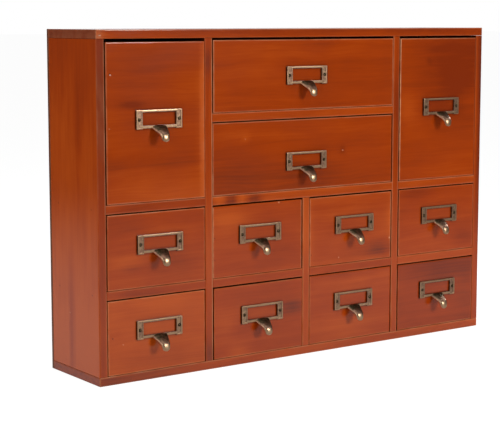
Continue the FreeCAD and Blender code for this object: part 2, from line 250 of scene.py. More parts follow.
boardLayers = ("tone", "cloud", "knot", "edge", "arris")
stainedSettings = {
    # Paulownia, sanded by hand, wiped with a red-brown oil stain and sealed with satin varnish. The eye
    # sees soft streaks along the grain, plum clouds where the stain pooled, and arrises rubbed pale.
    "pale": "#B64D10",
    "mid": "#9D3906",
    "deep": "#7E2A08",
    "plum": "#5E2718",
    # The colour of knots and brads, also painted as shade in the gaps and round the pulls
    "worn": "#D0946C",
    "knot": "#35150C",
    "toneShift": 0.5,
    "roughness": (0.10, 0.15),
    "rubbedGloss": 0.08,
    "bump": 0.25,
    # Each pattern: length, width and depth of its marks in mm, detail, and how much it moves the tone
    "patterns": {
        "growthBand": (420, 14, 30, 2.0, 0.17),
        "flame": (75, 7, 14, 2.0, 0.18),
        "streak": (120, 2.2, 6, 2.0, 0.15),
        "fibre": (26, 0.9, 0.8, 3.0, 0.12),
        "pooling": (70, 34, 60, 2.0, 0.28),
    },
}
plySettings = {
    # Three-ply sheet behind the case, stained and varnished like it. Its sawn edge drinks the stain, so
    # the eye sees a dark strip with a darker line where the crossed middle ply shows.
    "pale": "#8C4A22",
    "mid": "#74381A",
    "deep": "#572A14",
    "plum": "#42221A",
    "worn": "#A8785A",
    "knot": "#35150C",
    "toneShift": 0.5,
    "roughness": (0.24, 0.36),
    "rubbedGloss": 0.08,
    "bump": 0.35,
    "core": (48 * mm, 0.9 * mm, 0.6),  # the middle ply's place in depth, half its thickness, extra tone
    "patterns": {
        "growthBand": (500, 24, 30, 2.0, 0.40),
        "streak": (60, 1.8, 4, 3.0, 0.30),
        "fibre": (14, 0.6, 0.6, 3.0, 0.25),
        "pooling": (90, 50, 60, 2.0, 0.30),
    },
}
bareSettings = {
    # The same wood left bare inside the drawers: sanded only, pale straw with grey-brown growth lines.
    "pale": "#E2C79C",
    "mid": "#D3B184",
    "deep": "#B98F60",
    "plum": "#A67C55",
    "worn": "#E9D4B0",
    "knot": "#7A5637",
    "toneShift": 0.5,
    "roughness": (0.62, 0.80),
    "rubbedGloss": 0.5,
    "bump": 0.35,
    "patterns": {
        "growthBand": (300, 9, 14, 2.0, 0.55),
        "streak": (90, 1.8, 4, 3.0, 0.35),
        "fibre": (14, 0.5, 0.5, 3.0, 0.30),
        "pooling": (90, 50, 60, 1.0, 0.20),
    },
}


grainSettings = {
    # What all the woods share. Counts are per metre: along the grain, across it and through its rings.
    "driftCount": (9, 34, 34),              # how often the grain wanders, and how far
    "driftReach": (0.0, 12 * mm, 12 * mm),
    "rubCount": (45, 90, 90),               # how often a rubbed arris changes
    "rubSeen": (0.30, 0.62),                # the noise at which it is rubbed least and most
    "rubLeast": 0.45,
    "streaksInClouds": 1.9,                 # how strongly the streaks break up a cloud
    "poolSeen": (0.3, 0.7),                 # the noise at which the skin is smoothest and roughest
    "gloss": 0.5,
    "fibreDeep": 0.08 * mm,
}


def noiseAlong(tree, place, counts, detail):  # noise that comes about so many times a metre on each axis
    sized = addNode(tree, "ShaderNodeVectorMath", {"operation": "MULTIPLY"}, {0: place, 1: counts})
    return addNode(tree, "ShaderNodeTexNoise", {},
                   {"Vector": sized.outputs[0], "Scale": 1.0, "Detail": detail})


def woodMaterial(name, look):
    material = bpy.data.materials.new(name)
    tree = newTree(material)
    s = grainSettings
    carried = {label: addNode(tree, "ShaderNodeAttribute", {"attribute_name": label}).outputs["Fac"]
               for label in boardLayers}
    grain = addNode(tree, "ShaderNodeAttribute", {"attribute_name": "grain"}).outputs["Vector"]
    drift = noiseAlong(tree, grain, s["driftCount"], 1.0)
    centred = addNode(tree, "ShaderNodeVectorMath", {"operation": "SUBTRACT"},
                      {0: drift.outputs["Color"], 1: (0.5, 0.5, 0.5)})
    wander = addNode(tree, "ShaderNodeVectorMath", {"operation": "MULTIPLY_ADD"},
                     {0: centred.outputs[0], 1: s["driftReach"], 2: grain})
    # The tone of the stain: the board's own, then each pattern's share
    tone = carried["tone"]
    marks = {}
    for label, (length, width, thick, detail, share) in look["patterns"].items():
        counts = [1 / (size * mm) for size in (length, width, thick)]
        marks[label] = noiseAlong(tree, wander.outputs[0], counts, detail).outputs["Fac"]
        shifted = addNode(tree, "ShaderNodeMath", {"operation": "MULTIPLY_ADD"},
                          {0: marks[label], 1: share * 2, 2: -share})
        summed = addNode(tree, "ShaderNodeMath", {"operation": "ADD"}, {0: tone, 1: shifted.outputs[0]})
        tone = summed.outputs[0]
    if "core" in look:  # the crossed middle ply, seen on the sheet's sawn edges
        middle, half, extra = look["core"]
        place = addNode(tree, "ShaderNodeTexCoord").outputs["Object"]
        across = addNode(tree, "ShaderNodeSeparateXYZ", {}, {0: place})
        inCore = addNode(tree, "ShaderNodeMath", {"operation": "COMPARE"},
                         {0: across.outputs["Y"], 1: middle, 2: half})
        tone = addNode(tree, "ShaderNodeMath", {"operation": "MULTIPLY_ADD"},
                       {0: inCore.outputs[0], 1: extra, 2: tone}).outputs[0]
    centre = addNode(tree, "ShaderNodeMath", {"operation": "ADD"}, {0: tone, 1: look["toneShift"]})
    stain = addNode(tree, "ShaderNodeValToRGB", {"stops": (
        (0.0, linear(look["pale"])), (0.5, linear(look["mid"])), (1.0, linear(look["deep"])))},
        {"Fac": centre.outputs[0]})
    # Plum clouds where stain pooled, then knots, brads and painted shade, then arrises rubbed through
    broken = addNode(tree, "ShaderNodeMath", {"operation": "MULTIPLY"},
                     {0: marks["streak"], 1: s["streaksInClouds"]})
    pooled = addNode(tree, "ShaderNodeMath", {"operation": "MULTIPLY", "use_clamp": True},
                     {0: carried["cloud"], 1: broken.outputs[0]})
    clouded = addNode(tree, "ShaderNodeMix", {"data_type": "RGBA"},
                      {0: pooled.outputs[0], 6: stain.outputs[0], 7: linear(look["plum"])})
    knotAndShadeMixed = addNode(tree, "ShaderNodeMix", {"data_type": "RGBA"},
                      {0: carried["knot"], 6: clouded.outputs[2], 7: linear(look["knot"])})
    rub = noiseAlong(tree, grain, s["rubCount"], 2.0)
    rubbed = addNode(tree, "ShaderNodeMapRange", {"interpolation_type": "SMOOTHSTEP"},
                     {"Value": rub.outputs["Fac"], "From Min": s["rubSeen"][0], "From Max": s["rubSeen"][1],
                      "To Min": s["rubLeast"], "To Max": 1.0})
    bared = addNode(tree, "ShaderNodeMath", {"operation": "MULTIPLY", "use_clamp": True},
                    {0: carried["edge"], 1: rubbed.outputs[0]})
    worn = addNode(tree, "ShaderNodeMix", {"data_type": "RGBA"},
                   {0: bared.outputs[0], 6: knotAndShadeMixed.outputs[2], 7: linear(look["worn"])})
    sheen = addNode(tree, "ShaderNodeMapRange", {},
                    {"Value": marks["pooling"], "From Min": s["poolSeen"][0], "From Max": s["poolSeen"][1],
                     "To Min": look["roughness"][0], "To Max": look["roughness"][1]})
    gloss = addNode(tree, "ShaderNodeMapRange", {},
                    {"Value": carried["arris"], "To Min": s["gloss"], "To Max": look["rubbedGloss"]})
    relief = addNode(tree, "ShaderNodeBump", {},
                     {"Height": marks["fibre"], "Strength": look["bump"], "Distance": s["fibreDeep"]})
    surface = addNode(tree, "ShaderNodeBsdfPrincipled", {}, {
        "Base Color": worn.outputs[2], "Roughness": sheen.outputs[0],
        "Specular IOR Level": gloss.outputs[0], "Normal": relief.outputs[0]})
    addNode(tree, "ShaderNodeOutputMaterial", {}, {"Surface": surface.outputs[0]})
    return material


stainedWood = woodMaterial("varnished stained paulownia", stainedSettings)
stainedPly = woodMaterial("varnished stained plywood", plySettings)
bareWood = woodMaterial("bare sanded paulownia", bareSettings)
print("woods mixed")


# Boards: a sanded block with rounded arrises, cut into patches that carry its colour marks

boardSettings = {
    "rub": 1.6 * mm,            # how far from an arris the finish is rubbed
    "rubFull": 1.5,             # above 1 the rub is full before it reaches the arris
    "wearInDepth": (1.0, 0.6),  # how much of the stain is gone at the front and rear arrises
    "sway": 0.10 * mm,          # how unevenly hand sanding took the surface down
    "swaySize": 30 * mm,
    "seam": 0.12 * mm,          # how far a butt end stands off, so that the joint shows as a hairline
    "markPatch": 5 * mm,        # the skin round a dent that is cut finer to take it
    "markCuts": 6,
    "shadeReach": 2.2 * mm,      # how far painted contact shade spreads from a fitting's outline, and how dark it is there
    "shadeDark": 0.32,
    "inward": 1.1,              # arris widths in from front and rear, past which the skin is inside
    "onSide": 0.25,             # skin within this share of an arris width of a side belongs to it
    "stock": 3.0,               # metres of timber that the boards' grain is taken from
    # What a board has unless its own look says otherwise. Shades darken the stain or, below 0, lighten it,
    # clouds turn it plum and rubs bare it: share across, share up, half length and half height in mm,
    # strength. Marks: what shows, shares of the board's box, reach and depth in mm.
    "plain": {
        "arris": 0.5 * mm,
        "patch": 6 * mm,
        "grain": (0, 2, 1),            # the axes along the grain, across it and through its rings
        "axes": (0, 2),                # the axes that shares across and up are taken on
        "butt": False,                 # whether its ends meet other boards
        "tone": 0.0,
        "wear": (0.3, 0.3, 0.2, 0.3),  # how much of the stain is gone at the left, right, low and top
        "shades": (),
        "clouds": (),
        "rubs": (),
        "marks": (),
        "inside": (),                  # axis and end of each side that faces another board, and the painted shade put on it
        "fitting": (),                 # outlines that painted contact shade gathers along
    },
}
draw = random.Random(11)  # all the chance there is, so that every run is alike


def roundEdges(bm, edges, offset, segments=3):
    bmesh.ops.bevel(bm, geom=edges, offset=offset, offset_type="OFFSET", segments=segments, profile=0.5,
                    affect="EDGES", clamp_overlap=True, material=-1)


def cutAcross(bm, axis, place):  # cuts the whole mesh square to one axis
    normal = Vector([float(axis == other) for other in range(3)])
    bmesh.ops.bisect_plane(bm, geom=bm.verts[:] + bm.edges[:] + bm.faces[:], plane_co=normal * place,
                           plane_no=normal, dist=hair)


def joinTo(bm, part):  # adds a finished piece to a mesh that holds several
    made = bpy.data.meshes.new("part")
    part.to_mesh(made)
    part.free()
    bm.from_mesh(made)
    bpy.data.meshes.remove(made)


def offOutline(point, outline):  # how far a point is outside a rectangle, or below 0 how deep inside
    aside, above = [max(start - point[axis], point[axis] - stop) for axis, (start, stop) in outline.items()]
    return math.hypot(max(aside, 0.0), max(above, 0.0)) + min(0.0, max(aside, above))


def nearness(point, middle, reach):  # 1 in the middle of a mark, 0 from its reach on
    return max(0.0, 1.0 - ((point - middle).length / reach) ** 2)


def pressMark(board, middle, reach, depth):  # a dent, chip or sunk brad in one face
    board.normal_update()
    faces = [face for face in board.faces
             if (face.calc_center_median() - middle).length < boardSettings["markPatch"]
             and abs((face.calc_center_median() - middle).dot(face.normal)) < closeBy]
    edges = {edge for face in faces for edge in face.edges}
    bmesh.ops.subdivide_edges(board, edges=list(edges), cuts=boardSettings["markCuts"], use_grid_fill=True)
    board.normal_update()
    for vert in board.verts:
        vert.co -= vert.normal * depth * nearness(vert.co, middle, reach) ** 2


def cutBlank(board, low, high, look):  # the block, cut into patches, with its arrises rounded
    s = boardSettings
    size = high - low
    along = look["grain"][0]
    bmesh.ops.create_cube(board, size=1.0)
    bmesh.ops.scale(board, vec=size, verts=board.verts)
    bmesh.ops.translate(board, vec=(low + high) / 2, verts=board.verts)
    for axis in range(3):
        ring = min(s["rub"], size[axis] / 3)
        count = max(1, round((size[axis] - 2 * ring) / look["patch"]))
        for step in range(count + 1):
            cutAcross(board, axis, low[axis] + ring + (size[axis] - 2 * ring) * step / count)
        for outline in look["fitting"]:
            for side in outline.get(axis, ()):
                for share in (-1.0, -0.5, 0.0, 0.5, 1.0):
                    cutAcross(board, axis, side + share * s["shadeReach"])
    sharp = [edge for edge in board.edges if edge.calc_face_angle() > squareTurn]
    if look["butt"]:  # only the long arrises are rounded, since the ends meet other boards
        sharp = [edge for edge in sharp
                 if all(low[along] < vert.co[along] < high[along] for vert in edge.verts)
                 or abs((edge.verts[0].co - edge.verts[1].co)[along]) > closeBy]
    roundEdges(board, sharp, look["arris"])


def rubbedOff(point, low, high, look):  # how much of the varnish, and of the stain, is gone at a point
    s = boardSettings
    left, right, under, top = look["wear"]
    strengths = ((left, right), s["wearInDepth"], (under, top))
    sides = [axis for axis in range(3) if axis != look["grain"][0] or not look["butt"]]
    gaps = sorted([(point[axis] - low[axis], strengths[axis][0]) for axis in sides]
                  + [(high[axis] - point[axis], strengths[axis][1]) for axis in sides])
    (_, onOne), (gap, onOther) = gaps[:2]  # an arris is near where the two nearest sides both are
    varnish = min(1.0, s["rubFull"] * max(0.0, 1.0 - max(0.0, gap) / s["rub"]))
    return varnish, varnish * onOne * onOther


def colourPoint(vert, layers, low, high, look):  # a board's own shades, clouds and rubs, then painted shade in its gaps and round its fittings
    s = boardSettings
    size = high - low
    first, second = look["axes"]
    vert[layers["arris"]], vert[layers["edge"]] = rubbedOff(vert.co, low, high, look)
    vert[layers["tone"]] = look["tone"]
    for layer, kind in (("tone", "shades"), ("cloud", "clouds"), ("edge", "rubs")):
        for shareAcross, shareUp, wide, tall, strength in look[kind]:
            aside = (vert.co[first] - low[first] - shareAcross * size[first]) / (wide * mm)
            above = (vert.co[second] - low[second] - shareUp * size[second]) / (tall * mm)
            vert[layers[layer]] += strength * math.exp(-aside ** 2 - above ** 2)
    frontBand = look["arris"] * s["inward"]
    behind = vert.co.y - low.y > frontBand and high.y - vert.co.y > frontBand
    # A side that faces another board is darkened as painted shade, where the gap keeps light out
    for axis, end, strength in look["inside"]:
        if behind and abs(vert.co[axis] - (low, high)[end][axis]) < look["arris"] * s["onSide"]:
            vert[layers["knot"]] = strength
    # Round each pull's frame and window the wood is darkened as painted contact shade
    for outline in look["fitting"]:
        fittingShade = s["shadeDark"] * (1.0 - abs(offOutline(vert.co, outline)) / s["shadeReach"])
        if not behind:
            vert[layers["knot"]] = max(vert[layers["knot"]], fittingShade)


def addBoard(bm, low, high, own):
    s = boardSettings
    look = {**s["plain"], **own}
    low, high = Vector(low), Vector(high)
    if look["butt"]:
        low[look["grain"][0]] += s["seam"]
        high[look["grain"][0]] -= s["seam"]
    size = high - low
    board = bmesh.new()
    layers = {label: board.verts.layers.float.new(label) for label in boardLayers}
    grain = board.verts.layers.float_vector.new("grain")
    cutBlank(board, low, high, look)
    marks = [(kind, Vector([low[axis] + share * size[axis] for axis, share in enumerate(shares)]), reach * mm,
              depth * mm) for kind, shares, reach, depth in look["marks"]]
    for kind, middle, reach, depth in marks:
        pressMark(board, middle, reach, depth)
    offset = Vector([draw.uniform(0.0, s["stock"]) for _ in range(3)])
    for vert in board.verts:
        colourPoint(vert, layers, low, high, look)
        vert[grain] = Vector([vert.co[axis] for axis in look["grain"]]) + offset
        for kind, middle, reach, depth in marks:
            vert[layers[kind]] = max(vert[layers[kind]], nearness(vert.co, middle, reach))
    board.normal_update()
    for vert in board.verts:
        hollow = 0.5 + 0.5 * noise.noise(vert.co / s["swaySize"] + offset)
        vert.co -= vert.normal * s["sway"] * min(1.0, max(0.0, hollow))
    joinTo(bm, board)


crispFrom = math.radians(42)  # an edge that turns more than this stays crisp


def finishPiece(name, bm, body, nodes, slot, *materials):
    mesh = bpy.data.meshes.new(name)
    for face in bm.faces:
        face.smooth = True
    bm.to_mesh(mesh)
    bm.free()
    mesh.set_sharp_from_angle(angle=crispFrom)
    for material in materials:
        mesh.materials.append(material)
    piece = addObject(name, mesh)
    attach(piece, body)
    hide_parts(*nodes)


# The case

shadedUprightSides = ((0, 0, 0.85), (0, 1, 0.7))  # painted shade on the inner faces of uprights and of shelves
shadedShelfSides = ((2, 0, 0.7), (2, 1, 0.5))
brads = ((0.2434, 0.9), (0.5, 0.8))          # how far up brads hold the sides to the shelves, and their size


def sideBrads(face):  # the sunk brads in one face of a side board, near its front and its rear
    return tuple(("knot", (face, depth, up), size, 0.3) for up, size in brads for depth in (0.14, 0.84))


boardThick = 9 * mm
caseBoards = {
    "top_board": {
        "wear": (0.3, 0.3, 0.1, 0.35), "inside": ((2, 0, 0.7),),
        "shades": ((0.012, 0.4, 9, 9, -0.1), (0.5, 1.0, 400, 4, 0.3), (0.0, 0.5, 0.5, 9, 1.0),
                   (1.0, 0.5, 0.5, 9, 1.0)),
        "clouds": ((0.0, 0.5, 0.5, 9, 0.5), (1.0, 0.5, 0.5, 9, 0.5)),
        "rubs": ((0.006, 0.4, 4, 5, 0.3),),
        "marks": (("knot", (0.008, 0.0, 0.45), 0.9, 0.3),)},
    "bottom_board": {
        "tone": -0.08, "wear": (0.3, 0.3, 0.2, 0.4), "inside": ((2, 1, 0.7),),
        "shades": ((0.54, 0.5, 60, 9, -0.25), (1.0, 0.5, 0.5, 9, 0.8)),
        "clouds": ((0.10, 0.4, 60, 8, 0.5), (0.02, 0.5, 20, 9, 0.3))},
    "left_side": {
        "grain": (2, 1, 0), "axes": (1, 2), "butt": True, "tone": -0.05,
        "wear": (0.1, 0.35, 0.2, 0.2), "inside": ((0, 1, 0.7),),
        # The first two shades are painted light: the side lighter towards the floor, where bounced light
        # falls, and darker at the top
        "shades": ((0.5, 0.0, 400, 190, -0.5), (0.5, 1.0, 400, 60, 0.15), (0.41, 0.78, 6, 90, 0.25),
                   (0.58, 0.1, 4, 70, 0.7), (0.0, 0.5, 0.5, 400, 0.5)),
        "clouds": ((0.0, 0.85, 0.5, 50, 0.4), (0.0, 0.2, 0.5, 90, 0.2)),
        # This rub is a painted reflection: a pale streak on the upper front edge
        "rubs": ((0.0, 0.78, 0.5, 45, 0.10),),
        "marks": sideBrads(0.0) + (("edge", (0.0, 0.62, 0.17), 0.8, 0.1),)},
    "right_side": {
        "grain": (2, 1, 0), "butt": True, "wear": (0.1, 0.0, 0.2, 0.2), "inside": ((0, 0, 0.8),),
        "shades": ((1.0, 0.8, 3.5, 170, 0.6),),
        "clouds": ((1.0, 0.8, 3.0, 150, 0.75),),
        "marks": sideBrads(1.0)},
    "left_partition": {
        "grain": (2, 0, 1), "butt": True, "tone": -0.06, "inside": shadedUprightSides,
        "wear": (0.1, 0.6, 0.2, 0.2),
        "shades": ((0.5, 0.35, 9, 40, -0.1),),
        "clouds": ((0.5, 0.02, 9, 14, 0.6), (0.4, 0.93, 9, 12, 0.5))},
    "right_partition": {
        "grain": (2, 0, 1), "butt": True, "tone": -0.07, "inside": shadedUprightSides,
        "shades": ((0.9, 0.75, 6, 90, 0.4), (0.5, 0.15, 9, 50, -0.1))},
    "centre_partition": {
        "grain": (2, 0, 1), "butt": True, "tone": -0.1, "inside": shadedUprightSides,
        "shades": ((0.5, 0.8, 9, 40, -0.4),)},
    # The shelves are in pairs, one above the other or, for the short ones, side by side
    "left_shelves": {
        "pair": 2, "butt": True, "tone": 0.1, "inside": shadedShelfSides,
        "shades": ((0.06, 0.5, 14, 9, -0.25),),
        "clouds": ((0.3, 0.5, 40, 9, 0.15),)},
    "right_shelves": {"pair": 2, "butt": True, "tone": -0.15, "inside": shadedShelfSides},
    "wide_shelves": {
        "pair": 2, "butt": True, "tone": -0.2, "inside": shadedShelfSides,
        "first": {"shades": ((0.095, 0.5, 6, 9, 0.5), (0.22, 0.4, 8, 7, 0.4), (0.035, 0.5, 5, 9, -0.3),
                             (0.15, 0.5, 5, 9, -0.3)),
                  "clouds": ((0.095, 0.5, 6, 9, 0.7), (0.22, 0.4, 8, 7, 0.6))}},
    "short_shelves": {"pair": 0, "butt": True, "tone": -0.05, "inside": shadedShelfSides},
    "back_panel": {
        "tone": 0.1, "wear": (0.2, 0.2, 0.2, 0.2),
        "marks": tuple(("knot", (across, 1.0, up), 1.3, 0.25)
                       for up in (0.013, 0.5, 0.987) for across in (0.02, 0.25, 0.5, 0.75, 0.98))},
}
for nodeName, look in caseBoards.items():
    bm = bmesh.new()
    low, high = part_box(nodeName)
    spans = [(low, high)]
    if "pair" in look:  # two equal boards share the node, one above or beside the other
        axis = look["pair"]
        size = boardThick if axis == 2 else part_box("centre_partition")[0].x - low.x
        first, second = Vector(high), Vector(low)
        first[axis] = low[axis] + size
        second[axis] = high[axis] - size
        spans = [(low, first), (second, high)]
    for (start, stop), own in zip(spans, (look.get("first", {}), {})):
        addBoard(bm, start, stop, {**look, **own})
    sheet = nodeName == "back_panel"
    finishPiece(f"{nodeName}_wood", bm, "root", [nodeName], "stained_plywood" if sheet else "stained_case",
                stainedPly if sheet else stainedWood)
print("case boards cut")


# Antique brass: cast, blackened in a bath and wiped back, so that the eye sees olive-brown in every hollow
# and a pale worn gold on the rims and on the dome of the hook. Painted shade darkens the frame's walls;
# beside real wear, the hook's bright rims carry a painted highlight and its dark root and pale tip a painted
# reflection

castBrass = {
    "bright": "#F0CCAC",
    "worn": "#B48C6C",
    "olive": "#BE9E7C",
    "dull": "#96725E",
    "darkPatinaAndShade": "#36321F",
    "roughness": (0.30, 0.42),
    "blotch": (2.5 * mm, 0.7),  # size of the patina's cloudy and gritty patches, and how far they reach
    "speck": (0.5 * mm, 0.3),
}
pinBrass = {
    "bright": "#5E4C36",
    "worn": "#4C3E2C",
    "olive": "#40341F",
    "dull": "#30271B",
    "darkPatinaAndShade": "#1B150F",
    "roughness": (0.30, 0.40),
    "blotch": (1.5 * mm, 0.7),
    "speck": (0.4 * mm, 0.3),
}
patinaSettings = {
    # How deep in the patina and painted shade each colour lies, from rubbed metal to full patina
    "depths": ((0.0, "bright"), (0.15, "worn"), (0.35, "olive"), (0.55, "dull"), (1.0, "darkPatinaAndShade")),
    "bump": 0.15,
    "speckDeep": 0.05 * mm,
}


def brassMaterial(name, look):
    material = bpy.data.materials.new(name)
    tree = newTree(material)
    spot = addNode(tree, "ShaderNodeAttribute", {"attribute_name": "spot"}).outputs["Vector"]
    clouds, swings = {}, {}
    for label in ("blotch", "speck"):
        size, share = look[label]
        clouds[label] = addNode(tree, "ShaderNodeTexNoise", {},
                                {"Vector": spot, "Scale": 1 / size, "Detail": 3.0}).outputs["Fac"]
        swings[label] = addNode(tree, "ShaderNodeMath", {"operation": "MULTIPLY_ADD"},
                                {0: clouds[label], 1: share, 2: -share / 2}).outputs[0]
    patches = addNode(tree, "ShaderNodeMath", {"operation": "ADD"}, {0: swings["blotch"], 1: swings["speck"]})
    hollow = addNode(tree, "ShaderNodeAttribute", {"attribute_name": "hollow"}).outputs["Fac"]
    dark = addNode(tree, "ShaderNodeMath", {"operation": "ADD", "use_clamp": True},
                   {0: hollow, 1: patches.outputs[0]})
    stops = [(depth, linear(look[tone])) for depth, tone in patinaSettings["depths"]]
    colour = addNode(tree, "ShaderNodeValToRGB", {"stops": stops}, {"Fac": dark.outputs[0]})
    rough = addNode(tree, "ShaderNodeMapRange", {}, {
        "Value": dark.outputs[0], "To Min": look["roughness"][0], "To Max": look["roughness"][1]})
    relief = addNode(tree, "ShaderNodeBump", {}, {
        "Height": clouds["speck"], "Strength": patinaSettings["bump"],
        "Distance": patinaSettings["speckDeep"]})
    surface = addNode(tree, "ShaderNodeBsdfPrincipled", {}, {
        "Base Color": colour.outputs["Color"], "Metallic": 1.0, "Roughness": rough.outputs[0],
        "Normal": relief.outputs[0]})
    addNode(tree, "ShaderNodeOutputMaterial", {}, {"Surface": surface.outputs[0]})
    return material


antiqueBrass = brassMaterial("antiqued cast brass", castBrass)
darkBrass = brassMaterial("blackened brass pin", pinBrass)
print("brass mixed")


# The pulls: a card frame and its thumb hook, cast in one. The pattern is made once, about the middle of the
# frame's rear face, with its front towards -Y.

pullSettings = {
    "width": 53.2 * mm,
    "height": 19 * mm,
    "thick": 2.2 * mm,
    "corner": 1.0 * mm,
    "softened": 0.38 * mm,
    "landSoftened": 0.2 * mm,
    "window": (19.5 * mm, -5.8 * mm, 7.2 * mm),  # half width, low edge, high edge
    "barLow": -8.6 * mm,
    "land": (20.4 * mm, 24.9 * mm, 8.2 * mm),    # nearest and farthest from the middle, half height
    "landDeep": 0.5 * mm,
    "slot": (21 * mm, -7.1 * mm, 0.6 * mm),      # half width, low edge, depth of the card slot at the rear
    "pins": 23.3 * mm,
    "seat": (1.85 * mm, 0.6 * mm),               # radius and depth of the seat round each pin's head
    "seatSides": 20,
    "hookWall": 1.3 * mm,
    # Sections of the hook in mm: out of the frame's rear, up from its middle, how many degrees it points
    # below the level, width, rise of the arch, and how much patina is left on it, which also paints a
    # reflection:
    # a darker root and a paler tip
    "hook": (
        (0.2, -8.0, 34, 19.0, 3.4, 1.0),
        (4.4, -10.9, 34, 15.8, 3.3, 0.95),
        (8.4, -13.5, 38, 12.8, 3.6, 0.8),
        (10.9, -15.5, 50, 10.8, 3.9, 0.6),
        (12.2, -18.0, 66, 9.6, 3.2, 0.3),
        (13.1, -21.0, 75, 8.2, 2.2, 0.2),
        (13.6, -22.8, 74, 5.2, 1.5, 0.12),
    ),
    "tipRise": 0.5,          # where the arch closes at the tip, as a share of its rise
    "archSquare": 0.70,      # below 1 the arch is flatter on top and tighter at its sides
    "archSteps": 8,
    "rimSharp": 26,          # the higher, the narrower the bright line along the hook's two edges, rubbed metal with a painted highlight
    "patinaAndShadeDeep": 0.5 * mm,       # how far below the frame's face the patina, with painted shade on the side and window walls, is full
    "faceGrime": 0.22,       # and how much of it the wiped face and the lands keep, and the painted shade on the window's rim
    "landGrime": 0.50,
    "windowShade": 0.65,
    "windowRim": 0.9,        # how much of the softened edge round the window that last one takes
}
pinSettings = {
    "head": 1.6 * mm,        # radius and height of the dome
    "tall": 1.0 * mm,
    "under": -1.1 * mm,      # the head's underside, from the frame's rear face
    "shank": 0.75 * mm,
    "taper": 6.1 * mm,
    "tip": 7.3 * mm,
    "sides": 20,
    "domeTurn": 15,          # degrees from one ring of the dome to the next
}


def ofKind(items, kind):  # the points or the edges among what an operator made
    return [item for item in items if isinstance(item, kind)]


def pushFaces(bm, faces, move, keep=False):  # extrudes a patch, and leaves no face inside
    grown = bmesh.ops.extrude_face_region(bm, geom=faces)["geom"]
    bmesh.ops.translate(bm, vec=move, verts=ofKind(grown, bmesh.types.BMVert))
    if not keep:
        bmesh.ops.delete(bm, geom=faces, context="FACES_ONLY")
    bmesh.ops.recalc_face_normals(bm, faces=bm.faces[:])


def makeFrame(s):  # the card frame, cut from a sheet at the front of the card slot
    bm = bmesh.new()
    windowHalf, windowLow, windowHigh = s["window"]
    landNear, landFar, landHalf = s["land"]
    slotHalf, slotLow, slotDeep = s["slot"]
    bmesh.ops.create_grid(bm, x_segments=1, y_segments=1, size=0.5,
                          matrix=Matrix.Rotation(math.radians(90), 4, "X"))
    bmesh.ops.scale(bm, vec=(s["width"], 1, s["height"]), verts=bm.verts)
    bmesh.ops.translate(bm, vec=(0, -slotDeep, 0), verts=bm.verts)
    for place in (windowHalf, landNear, slotHalf, landFar):
        for side in (-1, 1):
            cutAcross(bm, 0, side * place)
    for place in (s["barLow"], -landHalf, slotLow, windowLow, windowHigh, landHalf):
        cutAcross(bm, 2, place)

    def chosen(test):
        return [face for face in bm.faces if test(face.calc_center_median(), face.normal)]

    openings = chosen(lambda at, way: abs(at.x) < windowHalf
                      and (windowLow < at.z < windowHigh or at.z < s["barLow"]))
    bmesh.ops.delete(bm, geom=openings, context="FACES")
    pushFaces(bm, bm.faces[:], (0, slotDeep - s["thick"], 0), keep=True)
    rear = chosen(lambda at, way: way.y > squareOn and (abs(at.x) > slotHalf or at.z < slotLow))
    pushFaces(bm, rear, (0, slotDeep, 0))
    lands = chosen(lambda at, way: way.y < -squareOn and landNear < abs(at.x) < landFar
                   and abs(at.z) < landHalf)
    pushFaces(bm, lands, (0, s["landDeep"], 0))
    return bm


def sinkSeats(bm, s):  # a round seat in each land for its pin's head
    radius, deep = s["seat"]
    floor = s["landDeep"] - s["thick"]
    for side in (-1, 1):
        land = [face for face in bm.faces
                if face.normal.y < -squareOn and face.calc_center_median().x * side > 0
                and abs(face.calc_center_median().y - floor) < hair]
        flat = bmesh.ops.dissolve_faces(bm, faces=land, use_verts=False)["region"][0]
        border = flat.edges[:]
        bmesh.ops.delete(bm, geom=[flat], context="FACES_ONLY")
        turned = Matrix.Translation((side * s["pins"], floor, 0)) @ Matrix.Rotation(math.radians(90), 4, "X")
        ring = bmesh.ops.create_circle(bm, cap_ends=False, segments=s["seatSides"], radius=radius,
                                       matrix=turned)["verts"]
        mouth = list({edge for vert in ring for edge in vert.link_edges})
        bmesh.ops.triangle_fill(bm, use_beauty=True, edges=border + mouth)
        grown = bmesh.ops.extrude_edge_only(bm, edges=mouth)["geom"]
        bmesh.ops.translate(bm, vec=(0, deep, 0), verts=ofKind(grown, bmesh.types.BMVert))
        bottom = [edge for edge in ofKind(grown, bmesh.types.BMEdge)
                  if all(abs(v.co.y - floor - deep) < hair for v in edge.verts)]
        bmesh.ops.contextual_create(bm, geom=bottom)
    bmesh.ops.recalc_face_normals(bm, faces=bm.faces[:])


def softenFrame(bm, s):  # round corners, then every edge that a finger meets
    corners = [edge for edge in bm.edges
               if all(abs(abs(v.co.x) - s["width"] / 2) < hair and abs(abs(v.co.z) - s["height"] / 2) < hair
                      for v in edge.verts)]
    roundEdges(bm, corners, s["corner"], segments=4)
    landNear, landFar, landHalf = s["land"]
    rims = [edge for edge in bm.edges if edge.calc_face_angle(0.0) > squareTurn
            and all(abs(v.co.y + s["thick"]) < hair for v in edge.verts)]
    ofLand = [edge for edge in rims
              if all(landNear - closeBy < abs(v.co.x) < landFar + closeBy and abs(v.co.z) < landHalf + closeBy
                     for v in edge.verts)]
    others = [edge for edge in rims if edge not in ofLand]
    roundEdges(bm, ofLand, s["landSoftened"])
    roundEdges(bm, others, s["softened"])


